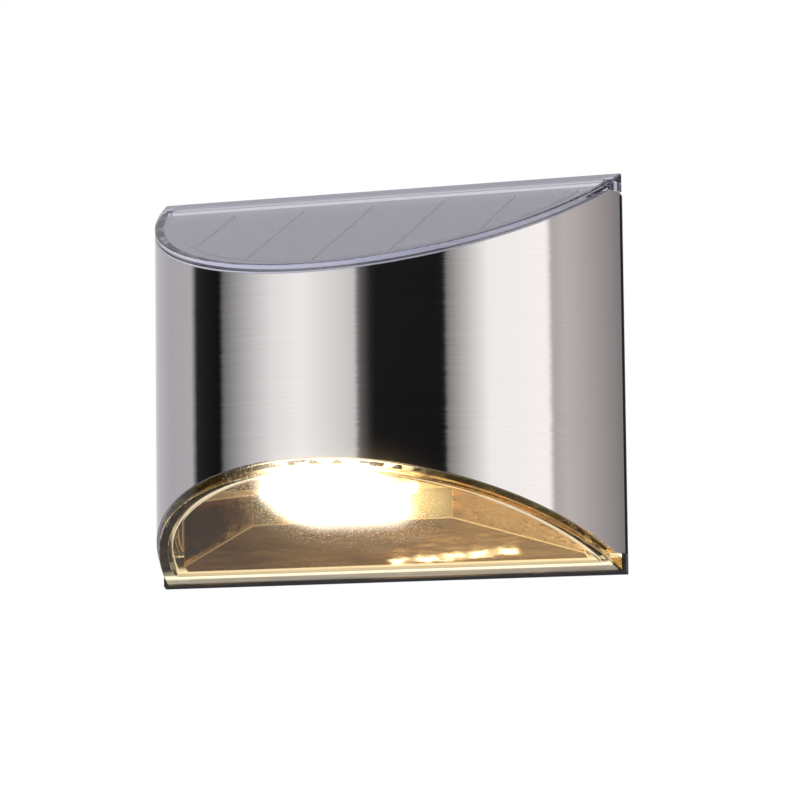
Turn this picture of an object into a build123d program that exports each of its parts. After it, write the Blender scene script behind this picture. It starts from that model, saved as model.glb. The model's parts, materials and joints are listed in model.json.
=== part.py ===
from build123d import *
import math
import os

# A half-round solar deck light that hangs on a wall. Millimetres and degrees.
# The wall face is the plane y = 0 and the light reaches towards -Y, +X is to the
# right of someone facing the light, +Z is up, and the origin is the middle of the wall face.
# "depth" below is the distance out from the wall, so depth = -y.

# Overall form
shell_width = 120.0
shell_depth = 52.0
light_height = 96.0
face_tilt = 25.0
corner_flat_depth = 6.0

# Steel shell
sheet_thickness = 0.6
lip_width = 6.4
lip_end_gap = 7.0

# Clearances
edge_gap = 0.1
wall_gap = 0.2
nest_gap = 0.15
seat_gap = 0.1
panel_side_gap = 0.25

# Clear cover over the solar panel
cover_thickness = 1.8
cover_skirt_wall = 1.6
cover_edge_radius = 0.5
pocket_radius = 1.3
pocket_depth = 2.4

# Solar panel
panel_thickness = 2.0
panel_air_gap = 0.6
pad_thickness = 0.6
cell_thickness = 0.3
cell_count = 6
cell_slit = 0.8
cell_margin = 3.2

# Clear lens
lens_thickness = 2.2
lens_inset = 0.5
lens_band = 2.6
lens_skirt_wall = 1.1
lens_skirt_height = 4.8
lens_edge_radius = 0.6
lens_seal_thickness = 1.2

# Core housing
core_wall = 2.2
deck_thickness = 2.0
frame_thickness = 1.6
frame_bar = 2.5
boss_radius = 3.4
boss_length = 8.2
boss_edge_distance = 9.5
boss_rib = 2.0
boss_roof_gap = 1.5
ledge_length = 5.0
ledge_width = 6.0
ledge_thickness = 3.0
ledge_angles = (-68.0, -51.0, 51.0, 68.0)

# Reflector
reflector_wall = 1.2
reflector_front_gap = 1.6
roof_bend_depth = 38.5
block_front_depth = 24.6
block_front_width = 51.0
block_lens_gap = 0.8
block_corner_gap = 0.6

# LED row
led_count = 6
led_pitch = 7.2
led_radius = 1.9
led_length = 3.4
led_tip_radius = 1.5
led_hole_gap = 0.25
led_row_depth = 32.6
led_board_width = 47.0
led_board_depth = 8.8
led_board_thickness = 1.0

# Battery and its bay
battery_diameter = 14.2
battery_length = 50.5
battery_nub_length = 1.3
battery_nub_radius = 2.7
battery_edge_radius = 0.6
battery_clearance = 0.5
battery_door_gap = 1.0
contact_space = 2.4
contact_sheet = 0.4
contact_width = 9.0
leaf_sheet = 0.35
leaf_width = 6.0
bay_wall = 1.4
bay_reflector_gap = 2.0

# Battery door
door_thickness = 1.4
door_recess = 0.3
door_seal_thickness = 0.5
door_seal_band = 2.0
door_side_gap = 0.3
door_corner_radius = 2.0
door_edge_radius = 0.35
pan_floor = 2.0
pan_end_margin = 8.6
pan_side_margin = 4.6
pan_wall = 1.6
door_boss_radius = 2.4
door_boss_length = 4.8
notch_width = 12.0
notch_depth = 1.6

# Back cover
back_thickness = 2.0
back_proud = 0.2
back_rim = 0.8
back_corner_radius = 1.0
back_edge_radius = 0.5
back_seal_thickness = 0.8

# Keyholes for the wall screws
keyhole_entry_radius = 4.5
keyhole_slot_radius = 2.3
keyhole_travel = 7.0
keyhole_head_room = 0.6
keyhole_pocket_depth = 7.0
keyhole_pocket_wall = 1.2
keyhole_pan_gap = 1.4

# Main board and its parts
board_thickness = 1.6
board_post_radius = 2.4
board_post_inset = 4.0
board_side_gap = 1.8
board_pan_gap = 2.2
board_deck_gap = 1.2
chip_width = 5.0
chip_height = 4.0
chip_thickness = 1.5
chip_lead_length = 1.0
chip_lead_width = 0.5
chip_leads_per_side = 4
inductor_radius = 3.5
inductor_height = 6.0
inductor_flange = 1.2
winding_radius = 3.1
capacitor_radius = 2.5
capacitor_height = 6.4
capacitor_edge_radius = 0.4
can_distance = 13.0
small_part_width = 2.0
small_part_height = 1.25
small_part_thickness = 0.7
small_part_pitch = 3.6
small_part_count = 4

# Slide switch
switch_width = 8.8
switch_height = 4.6
switch_thickness = 4.6
switch_travel = 3.0
switch_plate_gap = 1.4
switch_board_margin = 2.0
knob_width = 4.0
knob_height = 3.4
knob_recess = 0.6
knob_clearance = 0.4
knob_edge_radius = 0.3
stem_width = 2.0
stem_height = 1.8
stem_length = 1.6
grip_groove_width = 0.5
grip_groove_depth = 0.4
grip_groove_pitch = 1.1
grip_groove_count = 3
slot_dish_depth = 0.8
slot_dish_margin = 2.0
mark_depth = 0.3
mark_size = 3.2
mark_line = 0.6
mark_gap = 3.0

# Screws
back_screw_head_radius = 2.8
back_screw_head_height = 1.1
back_screw_radius = 1.2
back_screw_length = 8.0
door_screw_head_radius = 2.1
door_screw_head_height = 0.6
door_screw_radius = 1.1
door_screw_length = 6.0
board_screw_head_radius = 1.8
board_screw_head_height = 1.1
board_screw_radius = 0.85
board_screw_length = 6.0
drive_slot_width = 0.6
drive_slot_depth = 0.35
drive_slot_share = 0.62
head_edge_radius = 0.25
screw_hole_gap = 0.05
screw_pass_gap = 0.4
screw_head_gap = 0.3

# Wires
wire_diameter = 1.2
wire_hole_width = 8.0
wire_hole_depth = 4.0
wire_hole_place = 14.0
wire_pitch = 4.0
led_wire_pitch = 12.0
wire_exit_gap = 0.1
wire_stand_off = 3.0
panel_wire_drop = 3.0
led_wire_rise = 6.0
bend_share = 0.45

# Values worked out from the sizes above
half_width = shell_width / 2
half_height = light_height / 2
arc_radius = (half_width**2 + shell_depth**2) / (2 * shell_depth)
arc_offset = arc_radius - shell_depth
slope = math.tan(math.radians(face_tilt))
stretch = 1 / math.cos(math.radians(face_tilt))
reach = 4 * (shell_width + light_height)
overcut = 1.0

top_face = Plane(
    origin=(0, 0, half_height),
    x_dir=(1, 0, 0),
    z_dir=(0, -math.sin(math.radians(face_tilt)), math.cos(math.radians(face_tilt))),
)
lens_face = Plane(
    origin=(0, 0, -half_height),
    x_dir=(1, 0, 0),
    z_dir=(0, -math.sin(math.radians(face_tilt)), -math.cos(math.radians(face_tilt))),
)

sheet_inside = arc_radius - sheet_thickness
shell_top_flat = half_height - cover_thickness * stretch - corner_flat_depth * slope
shell_low_flat = -half_height + lens_thickness * stretch + corner_flat_depth * slope

back_inside = back_thickness
back_step_x = math.sqrt(sheet_inside**2 - (arc_offset + back_inside) ** 2) - nest_gap
core_back = back_inside + back_seal_thickness
deck_level = cover_thickness + panel_air_gap + panel_thickness + pad_thickness
deck_under = deck_level + deck_thickness
core_radius = sheet_inside - nest_gap
core_inside = core_radius - core_wall

cover_skirt_radius = sheet_inside - nest_gap
cover_skirt_inside = cover_skirt_radius - cover_skirt_wall
cover_skirt_back = core_back + edge_gap
cover_rim_back = cover_skirt_back + cover_skirt_wall
panel_radius = cover_skirt_inside - panel_side_gap
panel_back = cover_rim_back + panel_side_gap

lens_radius = arc_radius - lens_inset
lens_skirt_radius = lens_radius - lens_band
lens_skirt_inside = lens_skirt_radius - lens_skirt_wall
lens_skirt_back = core_back + nest_gap
lens_rim_back = lens_skirt_back + lens_skirt_wall
lens_skirt_level = lens_thickness + lens_skirt_height
core_rim_level = lens_thickness + lens_seal_thickness

frame_front = core_back + frame_thickness
reflector_radius = lens_skirt_inside - 2 * nest_gap
reflector_inside = reflector_radius - reflector_wall
reflector_back = frame_front + nest_gap
reflector_back_inside = reflector_back + reflector_wall
reflector_wall_level = lens_skirt_level + seat_gap
block_level = lens_thickness + block_lens_gap
block_floor_level = block_level + reflector_wall

back_screw_x = half_width - boss_edge_distance


def lens_level_z(depth, level):
    """Height of a plane that lies a given distance inside the lens face."""
    return -half_height + depth * slope + level * stretch


def deck_z(depth, level):
    """Height of a plane that lies a given distance inside the solar face."""
    return half_height - depth * slope - level * stretch


# The reflector's roof is flat, and in front of its bend it follows the lens
roof_z = lens_level_z(roof_bend_depth, lens_thickness + reflector_front_gap)
roof_top = roof_z + reflector_wall
led_board_low = roof_top + seat_gap
led_board_top = led_board_low + led_board_thickness

# Battery bay and door pan, from the wall side inwards
pan_depth = door_recess + door_thickness + door_seal_thickness
bay_front = pan_depth + battery_door_gap + battery_diameter + battery_clearance
bay_end = battery_length / 2 + contact_space
bay_half_height = battery_diameter / 2 + battery_clearance
bay_block_front = bay_front + bay_wall
battery_z = roof_top + bay_reflector_gap + bay_wall + bay_half_height
battery_depth = pan_depth + battery_door_gap + battery_diameter / 2
pan_half_width = bay_end + pan_end_margin
pan_half_height = bay_half_height + pan_side_margin
pan_top = battery_z + pan_half_height + pan_wall
door_screw_x = bay_end + bay_wall + screw_head_gap + door_boss_radius + bay_wall

# Keyholes stand above the door pan, and the main board lies between their pockets
keyhole_half_pocket = keyhole_entry_radius + keyhole_head_room
keyhole_entry_z = pan_top + keyhole_pan_gap + keyhole_pocket_wall + keyhole_half_pocket
keyhole_slot_z = keyhole_entry_z + keyhole_travel
keyhole_x = back_screw_x - boss_radius - keyhole_half_pocket - 2 * keyhole_pocket_wall
keyhole_pocket_front = back_inside + keyhole_pocket_depth

board_half_width = keyhole_x - keyhole_half_pocket - keyhole_pocket_wall - board_side_gap
board_low = pan_top + board_pan_gap
switch_back = back_inside + switch_plate_gap
board_back = switch_back + switch_thickness
board_front = board_back + board_thickness
parts_front = board_front + max(inductor_height, capacitor_height)
board_top = deck_z(parts_front, deck_under) - board_deck_gap
board_z = (board_low + board_top) / 2
switch_z = board_low + switch_height / 2 + switch_board_margin
knob_rest_x = switch_travel / 2

plate_top = shell_top_flat - edge_gap
back_screw_top_z = deck_z(core_back + boss_length, deck_under) - boss_radius / 2
back_screw_low_z = roof_top + boss_radius + boss_roof_gap
back_screw_places = [(side * back_screw_x, z) for side in (-1, 1)
                     for z in (back_screw_low_z, back_screw_top_z)]
frame_open_x = back_screw_x - frame_bar
frame_open_top = deck_z(core_back, deck_under) - frame_bar
frame_low = lens_level_z(frame_front, lens_skirt_level) + nest_gap
frame_open_low = frame_low + frame_bar


def block(x, depth, z):
    """Box between two values of x, of depth and of z."""
    size = Box(x[1] - x[0], depth[1] - depth[0], z[1] - z[0])
    return Pos((x[0] + x[1]) / 2, -(depth[0] + depth[1]) / 2, (z[0] + z[1]) / 2) * size


def rod(x, z, radius, depth):
    """Round bar along the depth, between two depths."""
    bar = Rot(90, 0, 0) * Cylinder(radius, depth[1] - depth[0])
    return Pos(x, -(depth[0] + depth[1]) / 2, z) * bar


def post(x, depth, radius, z):
    """Round bar along Z, between two heights."""
    return Pos(x, -depth, (z[0] + z[1]) / 2) * Cylinder(radius, z[1] - z[0])


def half_round(radius, back):
    """Tall prism of the half-round plan, cut off at a depth from the wall."""
    disc = Pos(0, arc_offset, 0) * Cylinder(radius, reach)
    return disc & block((-reach, reach), (back, reach), (-reach, reach))


def ring(outer, outer_back, inner, inner_back):
    """Tall wall between two half-round plans."""
    return half_round(outer, outer_back) - half_round(inner, inner_back)


def layer(face, start, end):
    """Slab between two distances inside a sloping face."""
    return face.location * Pos(0, 0, -(start + end) / 2) * Box(reach, reach, end - start)


def inside_of(face, start):
    """Everything further inside a sloping face than a distance."""
    return layer(face, start, start + reach)


def above(z):
    return block((-reach, reach), (-reach, reach), (z, z + reach))


def below(z):
    return block((-reach, reach), (-reach, reach), (z - reach, z))


def round_front_edge(plate, face, radius):
    """Round the curved edge of the plate's outer side."""
    outer = plate.faces().sort_by(Axis((0, 0, 0), face.z_dir))[-1]
    return fillet(outer.edges().filter_by(GeomType.LINE, reverse=True), radius)


def group(solids):
    return Compound(children=list(solids))


def screw(x, z, head_start, head_radius, head_height, radius, length, way=1):
    """Cross-head screw along the depth. way = 1 drives it towards the front, -1 to the wall."""
    head_end = head_start + way * head_height
    tip = head_end + way * length
    slot_depth = sorted((head_start, head_start + way * drive_slot_depth))
    head = rod(x, z, head_radius, sorted((head_start, head_end)))
    outer = head.faces().sort_by(Axis.Y)[-1 if way > 0 else 0]
    body = fillet(outer.edges(), head_edge_radius)
    body += rod(x, z, radius, sorted((head_end, tip)))
    long = drive_slot_share * head_radius
    thin = drive_slot_width / 2
    body -= block((x - long, x + long), slot_depth, (z - thin, z + thin))
    return body - block((x - thin, x + thin), slot_depth, (z - long, z + long))


def shell():
    """Bent sheet with a lip folded in behind each straight edge at the wall."""
    start = back_inside + edge_gap
    sheet = ring(arc_radius, back_rim + edge_gap, sheet_inside, -reach)
    lip_start = half_width - lip_width
    for side in (-1, 1):
        lip = block(
            sorted((side * lip_start, side * half_width)),
            (start, start + sheet_thickness),
            (shell_low_flat + lip_end_gap, shell_top_flat - lip_end_gap),
        )
        sheet += lip & half_round(arc_radius, start)
    sheet &= inside_of(top_face, cover_thickness + edge_gap)
    sheet &= inside_of(lens_face, lens_thickness + edge_gap)
    return sheet & below(shell_top_flat) & above(shell_low_flat)


def top_cover():
    """Clear plate flush with the shell, with a back rim and a skirt inside the shell."""
    cover = half_round(arc_radius, wall_gap) & layer(top_face, 0, deck_level)
    cover = round_front_edge(cover, top_face, cover_edge_radius)
    panel_room = half_round(cover_skirt_inside, cover_rim_back) & inside_of(top_face, cover_thickness)
    shell_room = ring(arc_radius + overcut, -reach, cover_skirt_radius, cover_skirt_back)
    shell_room &= inside_of(top_face, cover_thickness) & below(shell_top_flat + edge_gap)
    cover = cover - panel_room - shell_room
    pocket_place = (wall_gap + cover_rim_back) / 2
    pocket_low = shell_top_flat + edge_gap
    for side in (-1, 1):
        pocket = Pos(side * (half_width - pocket_place), -pocket_place, pocket_low + pocket_depth / 2)
        cover -= pocket * Cylinder(pocket_radius, pocket_depth)
    return cover


def solar_panel():
    plate = half_round(panel_radius, panel_back)
    return plate & layer(top_face, deck_level - pad_thickness - panel_thickness, deck_level - pad_thickness)


def solar_cells():
    """Cell strips side by side, cut to the panel's outline."""
    surface = deck_level - pad_thickness - panel_thickness
    outline = half_round(panel_radius - cell_margin, panel_back + cell_margin)
    outline &= layer(top_face, surface - cell_thickness, surface)
    width = 2 * (panel_radius - cell_margin) / cell_count
    strips = []
    for index in range(cell_count):
        left = -panel_radius + cell_margin + index * width
        strip = block(
            (left + cell_slit / 2, left + width - cell_slit / 2), (-reach, reach), (-reach, reach)
        )
        strips.append(outline & strip)
    return group(strips)


def deck_hole():
    """Passage for the panel's two wires."""
    return block(
        (-wire_hole_width / 2, wire_hole_width / 2),
        (wire_hole_place - wire_hole_depth / 2, wire_hole_place + wire_hole_depth / 2),
        (0, reach),
    )


def panel_pad():
    pad = half_round(panel_radius - panel_side_gap, panel_back + panel_side_gap)
    return (pad & layer(top_face, deck_level - pad_thickness, deck_level)) - deck_hole()


def lens():
    """Clear plate below the shell, with a back rim and a skirt."""
    pane = half_round(lens_radius, back_inside + edge_gap) & layer(lens_face, 0, lens_skirt_level)
    pane = round_front_edge(pane, lens_face, lens_edge_radius)
    light_room = half_round(lens_skirt_inside, lens_rim_back) & inside_of(lens_face, lens_thickness)
    shell_room = ring(lens_radius + overcut, -reach, lens_skirt_radius, lens_skirt_back)
    shell_room &= inside_of(lens_face, lens_thickness) & above(shell_low_flat - edge_gap)
    return pane - light_room - shell_room


def lens_seal():
    """Gasket on the lens's edge, outside its skirt."""
    start = corner_flat_depth + lens_seal_thickness
    strip = ring(sheet_inside - nest_gap, start, lens_skirt_radius + nest_gap, -reach)
    return strip & layer(lens_face, lens_thickness, core_rim_level)


def core_housing():
    """Tub with a sloping deck, a frame for the back cover and ledges over the reflector."""
    body = half_round(core_radius, core_back)
    body &= inside_of(top_face, deck_level)
    body &= inside_of(lens_face, core_rim_level)
    body &= above(shell_low_flat + edge_gap)
    hollow = half_round(core_inside, frame_front) & inside_of(top_face, deck_under)
    opening = block(
        (-frame_open_x, frame_open_x), (-reach, frame_front), (frame_open_low, frame_open_top)
    )
    under_frame = half_round(core_inside, -reach) & below(frame_low)
    skirt_room = half_round(lens_skirt_radius + nest_gap, -reach)
    skirt_room &= layer(lens_face, -reach / 2, lens_skirt_level + nest_gap)
    body = body - hollow - opening - under_frame - skirt_room - deck_hole()
    inner_limit = half_round(core_radius - core_wall / 2, core_back) & inside_of(top_face, deck_level)
    boss_depth = (core_back, core_back + boss_length)
    for x, z in back_screw_places:
        body += rod(x, z, boss_radius, boss_depth) & inner_limit
        rib = block(
            sorted((x, math.copysign(half_width, x))), boss_depth, (z - boss_rib / 2, z + boss_rib / 2)
        )
        body += rib & inner_limit
    for angle in ledge_angles:
        bar = Box(ledge_width, ledge_length + core_wall, reach)
        bar = Pos(0, -(core_inside + core_wall / 2 - ledge_length / 2), 0) * bar
        bar = Pos(0, arc_offset, 0) * Rot(0, 0, angle) * bar
        floor = roof_top + seat_gap
        body += bar & above(floor) & below(floor + ledge_thickness) & inner_limit
    for x, z in back_screw_places:
        hole_depth = (core_back - overcut, core_back + boss_length + overcut)
        body -= rod(x, z, back_screw_radius + screw_hole_gap, hole_depth)
    return body


def led_block(inset):
    """Tall prism of the reflector's middle block, drawn in by a wall thickness."""
    corner_depth = reflector_back_inside + reflector_wall
    corner_x = math.sqrt(reflector_inside**2 - (corner_depth + arc_offset) ** 2) - block_corner_gap
    front_x = block_front_width / 2
    outline = Polygon(
        (-corner_x, -corner_depth),
        (-front_x, -block_front_depth),
        (front_x, -block_front_depth),
        (corner_x, -corner_depth),
        (corner_x, -reflector_back),
        (-corner_x, -reflector_back),
        align=None,
    )
    if inset > 0:
        outline = offset(outline, -inset, kind=Kind.INTERSECTION)
    return Pos(0, 0, -reach / 2) * extrude(outline, reach)


def under_roof(extra):
    """Everything below the reflector's roof, or below a surface a distance above it."""
    level = lens_thickness + reflector_front_gap + extra
    return below(roof_z + extra) + layer(lens_face, -reach / 2, level)


def reflector():
    """Bent roof with low walls, holes for the LEDs and a hollow block at the back."""
    tray = half_round(reflector_radius, reflector_back) & under_roof(reflector_wall)
    tray -= half_round(reflector_inside, reflector_back_inside) & under_roof(0)
    tray -= layer(lens_face, -reach / 2, reflector_wall_level) & under_roof(0)
    tray += led_block(0) & inside_of(lens_face, block_level) & under_roof(reflector_wall)
    room = led_block(reflector_wall) & inside_of(lens_face, block_floor_level)
    tray -= room & half_round(reflector_inside, reflector_back_inside)
    hole_radius = led_radius + led_hole_gap
    for x in led_places():
        tray -= post(x, led_row_depth, hole_radius, (roof_z - overcut, roof_top + overcut))
    return tray


def led_places():
    """Places along X of the LEDs in their row."""
    return [(index - (led_count - 1) / 2) * led_pitch for index in range(led_count)]


def led_board():
    """Narrow board that lies on the reflector's roof."""
    half = led_board_width / 2
    depth = (led_row_depth - led_board_depth / 2, led_row_depth + led_board_depth / 2)
    return block((-half, half), depth, (led_board_low, led_board_top))


def leds():
    """Row of round LEDs that hang from the board, each with a rounded tip."""
    row = []
    for x in led_places():
        body = post(x, led_row_depth, led_radius, (led_board_low - led_length, led_board_low))
        tip = body.faces().sort_by(Axis.Z)[0]
        row.append(fillet(tip.edges(), led_tip_radius))
    return group(row)


def door_outline(extra, depth):
    """Rounded plate of the battery door, grown by a distance all round."""
    plate = block(
        (-pan_half_width - extra, pan_half_width + extra),
        depth,
        (battery_z - pan_half_height - extra, battery_z + pan_half_height + extra),
    )
    return fillet(plate.edges().filter_by(Axis.Y), door_corner_radius + extra)


def keyhole(x, depth):
    """Round entry with a narrower slot above it."""
    hole = rod(x, keyhole_entry_z, keyhole_entry_radius, depth)
    hole += rod(x, keyhole_slot_z, keyhole_slot_radius, depth)
    return hole + block(
        (x - keyhole_slot_radius, x + keyhole_slot_radius), depth, (keyhole_entry_z, keyhole_slot_z)
    )


def keyhole_pocket(x, extra, depth):
    half = keyhole_half_pocket + extra
    return block(
        (x - half, x + half), depth, (keyhole_entry_z - half, keyhole_slot_z + half)
    )


def board_post_places():
    low = board_low + board_post_inset
    high = board_top - board_post_inset
    x = board_half_width - board_post_inset
    return [(side * x, z) for side in (-1, 1) for z in (low, high)]


def switch_marks():
    """Engraved bar for on and ring for off, beside the switch."""
    half_dish = switch_travel / 2 + knob_width / 2 + knob_clearance + slot_dish_margin
    x = half_dish + mark_gap
    depth = (-overcut, mark_depth)
    bar = block(
        (x - mark_line / 2, x + mark_line / 2),
        depth,
        (switch_z - mark_size / 2, switch_z + mark_size / 2),
    )
    circle = rod(-x, switch_z, mark_size / 2, depth)
    circle -= rod(-x, switch_z, mark_size / 2 - mark_line, depth)
    return [bar, circle]


def back_cover():
    """Back plate with the battery bay, keyhole pockets and board posts moulded on."""
    half = half_width + back_proud
    cover = block((-half, half), (0, back_thickness), (-reach, plate_top)) & inside_of(lens_face, 0)
    cover = fillet(cover.edges().filter_by(Axis.Y), back_corner_radius)
    cover = fillet(cover.faces().sort_by(Axis.Y)[-1].edges(), back_edge_radius)
    for side in (-1, 1):
        cover -= block(
            sorted((side * back_step_x, side * reach)),
            (back_rim, back_thickness + overcut),
            (shell_low_flat - edge_gap, reach),
        )
    cover += door_outline(pan_wall, (0, pan_depth + pan_floor))
    bay = block(
        (-bay_end - bay_wall, bay_end + bay_wall),
        (pan_depth, bay_block_front),
        (battery_z - bay_half_height - bay_wall, battery_z + bay_half_height + bay_wall),
    )
    cover += bay
    for side in (-1, 1):
        boss_end = pan_depth + pan_floor + door_boss_length
        cover += rod(side * door_screw_x, battery_z, door_boss_radius, (pan_depth, boss_end))
        cover += keyhole_pocket(
            side * keyhole_x, keyhole_pocket_wall, (0, keyhole_pocket_front + keyhole_pocket_wall)
        )
    for x, z in board_post_places():
        cover += rod(x, z, board_post_radius, (0, board_back))
    cover -= door_outline(0, (-overcut, pan_depth))
    cover -= block(
        (-bay_end, bay_end), (0, bay_front), (battery_z - bay_half_height, battery_z + bay_half_height)
    )
    for side in (-1, 1):
        boss_end = pan_depth + pan_floor + door_boss_length
        hole_radius = door_screw_radius + screw_hole_gap
        cover -= rod(side * door_screw_x, battery_z, hole_radius, (0, boss_end - bay_wall))
        cover -= keyhole_pocket(side * keyhole_x, 0, (back_inside, keyhole_pocket_front))
        cover -= keyhole(side * keyhole_x, (-overcut, back_inside + overcut))
        cover -= rod(
            side * (bay_end - contact_space / 2),
            battery_z,
            wire_diameter / 2 + wire_exit_gap,
            (bay_front - overcut, bay_block_front + overcut),
        )
    post_hole = (board_back - board_screw_length, board_back + overcut)
    for x, z in board_post_places():
        cover -= rod(x, z, board_screw_radius + screw_hole_gap, post_hole)
    head_hole = (-overcut, back_screw_head_height + edge_gap)
    for x, z in back_screw_places:
        cover -= rod(x, z, back_screw_radius + screw_pass_gap, (-overcut, back_thickness + overcut))
        cover -= rod(x, z, back_screw_head_radius + screw_head_gap, head_hole)
    slot_x = switch_travel / 2 + knob_width / 2 + knob_clearance
    slot_z = knob_height / 2 + knob_clearance
    slot_depth = (-overcut, back_thickness + overcut)
    cover -= block((-slot_x, slot_x), slot_depth, (switch_z - slot_z, switch_z + slot_z))
    dish_x = slot_x + slot_dish_margin
    dish_z = slot_z + slot_dish_margin
    dish = block((-dish_x, dish_x), (-overcut, slot_dish_depth), (switch_z - dish_z, switch_z + dish_z))
    cover -= fillet(dish.edges().filter_by(Axis.Y), slot_dish_margin)
    for mark in switch_marks():
        cover -= mark
    return cover


def back_seal():
    """Flat gasket between the back cover and the housing's frame."""
    outer_x = half_width - lip_width - nest_gap
    outer = block(
        (-outer_x, outer_x), (back_inside, core_back), (frame_low + edge_gap, frame_open_top + frame_bar)
    )
    inner = block(
        (-frame_open_x, frame_open_x), (-reach, reach), (frame_open_low, frame_open_top)
    )
    seal = outer - inner
    for x, z in back_screw_places:
        seal -= rod(x, z, back_screw_radius + screw_pass_gap, (0, core_back + overcut))
    return seal


def back_screws():
    sizes = (back_screw_head_radius, back_screw_head_height, back_screw_radius, back_screw_length)
    return group(screw(x, z, edge_gap, *sizes) for x, z in back_screw_places)


def battery_door():
    """Plate with two screw holes and a fingernail notch."""
    door = door_outline(-door_side_gap, (door_recess, door_recess + door_thickness))
    door = fillet(door.faces().sort_by(Axis.Y)[-1].edges(), door_edge_radius)
    for side in (-1, 1):
        x = side * door_screw_x
        door -= rod(x, battery_z, door_screw_radius + screw_pass_gap, (0, pan_depth))
        head_hole = (0, door_recess + door_screw_head_height)
        door -= rod(x, battery_z, door_screw_head_radius + screw_head_gap, head_hole)
    notch_low = battery_z - pan_half_height
    return door - block(
        (-notch_width / 2, notch_width / 2),
        (0, door_recess + door_thickness / 2),
        (notch_low, notch_low + door_side_gap + notch_depth),
    )


def door_seal():
    start = door_recess + door_thickness
    margin = door_side_gap
    outer = block(
        (-bay_end - margin - door_seal_band, bay_end + margin + door_seal_band),
        (start, pan_depth),
        (
            battery_z - bay_half_height - margin - door_seal_band,
            battery_z + bay_half_height + margin + door_seal_band,
        ),
    )
    inner = block(
        (-bay_end - margin, bay_end + margin),
        (0, reach),
        (battery_z - bay_half_height - margin, battery_z + bay_half_height + margin),
    )
    return outer - inner


def door_screws():
    sizes = (door_screw_head_radius, door_screw_head_height, door_screw_radius, door_screw_length)
    return group(screw(side * door_screw_x, battery_z, door_recess, *sizes) for side in (-1, 1))


def battery():
    """Round cell lying along X, with its raised end to the right."""
    body_length = battery_length - battery_nub_length
    body = Cylinder(battery_diameter / 2, body_length)
    body = fillet(body.edges(), battery_edge_radius)
    nub = Pos(0, 0, (body_length + battery_nub_length) / 2) * Cylinder(battery_nub_radius, battery_nub_length)
    cell = Rot(0, 90, 0) * (body + nub)
    return Pos(-battery_nub_length / 2, -battery_depth, battery_z) * cell


def contact_plate(side):
    far = bay_end - edge_gap
    return block(
        sorted((side * far, side * (far - contact_sheet))),
        (battery_depth - contact_width / 2, bay_front - edge_gap),
        (battery_z - contact_width / 2, battery_z + contact_width / 2),
    )


def battery_contact_positive():
    """Plate with a round dimple that meets the cell's raised end."""
    start = battery_length / 2 + seat_gap
    length = bay_end - edge_gap - contact_sheet - start
    dimple = Pos(start + length / 2, -battery_depth, battery_z)
    return contact_plate(1) + dimple * Rot(0, 90, 0) * Cylinder(battery_nub_radius, length)


def battery_contact_negative():
    """Plate with a leaf that is bent towards the cell's flat end."""
    base = -(bay_end - edge_gap - contact_sheet)
    crest = -(battery_length / 2 + seat_gap)
    foot = contact_width / 2
    leaf = Polygon(
        (base, -battery_depth - foot),
        (crest, -battery_depth - leaf_sheet),
        (crest, -battery_depth + leaf_sheet),
        (base, -battery_depth + foot),
        (base, -battery_depth + foot - 2 * leaf_sheet),
        (crest - leaf_sheet, -battery_depth),
        (base, -battery_depth - foot + 2 * leaf_sheet),
        align=None,
    )
    return contact_plate(-1) + Pos(0, 0, battery_z - leaf_width / 2) * extrude(leaf, leaf_width)


def main_board():
    plate = block((-board_half_width, board_half_width), (board_back, board_front), (board_low, board_top))
    for x, z in board_post_places():
        plate -= rod(x, z, board_screw_radius + screw_pass_gap, (0, board_front + overcut))
    return plate


def main_board_screws():
    start = board_front + board_screw_head_height
    sizes = (board_screw_head_radius, board_screw_head_height, board_screw_radius, board_screw_length)
    return group(screw(x, z, start, *sizes, way=-1) for x, z in board_post_places())


def control_chip():
    """Flat chip body with short leads on both sides."""
    chip = block(
        (-chip_width / 2, chip_width / 2),
        (board_front + seat_gap, board_front + chip_thickness),
        (board_z - chip_height / 2, board_z + chip_height / 2),
    )
    lead_reach = chip_height / 2 + chip_lead_length
    for index in range(chip_leads_per_side):
        x = (index - (chip_leads_per_side - 1) / 2) * chip_width / chip_leads_per_side
        chip += block(
            (x - chip_lead_width / 2, x + chip_lead_width / 2),
            (board_front, board_front + chip_thickness / 2),
            (board_z - lead_reach, board_z + lead_reach),
        )
    return chip


def inductor():
    """Drum core: two flanges round a narrower winding."""
    end = board_front + inductor_height
    drum = rod(can_distance, board_z, inductor_radius, (board_front, board_front + inductor_flange))
    drum += rod(can_distance, board_z, winding_radius, (board_front, end))
    return drum + rod(can_distance, board_z, inductor_radius, (end - inductor_flange, end))


def capacitor():
    can = rod(-can_distance, board_z, capacitor_radius, (board_front, board_front + capacitor_height))
    top = can.faces().sort_by(Axis.Y)[0]
    return fillet(top.edges(), capacitor_edge_radius)


def board_parts():
    """Resistors and diodes in a row below the chip."""
    z = board_low + board_post_inset / 2
    parts = []
    for index in range(small_part_count):
        x = (index - (small_part_count - 1) / 2) * small_part_pitch
        parts.append(block(
            (x - small_part_width / 2, x + small_part_width / 2),
            (board_front, board_front + small_part_thickness),
            (z - small_part_height / 2, z + small_part_height / 2),
        ))
    return group(parts)


def switch_body():
    """Slide switch case on the board's wall side, with a channel for the knob's stem."""
    case = block(
        (-switch_width / 2, switch_width / 2),
        (switch_back, board_back),
        (switch_z - switch_height / 2, switch_z + switch_height / 2),
    )
    half = (switch_travel + stem_width) / 2 + knob_clearance
    return case - block(
        (-half, half),
        (0, switch_back + stem_length + seat_gap),
        (switch_z - stem_height / 2 - nest_gap, switch_z + stem_height / 2 + nest_gap),
    )


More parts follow.
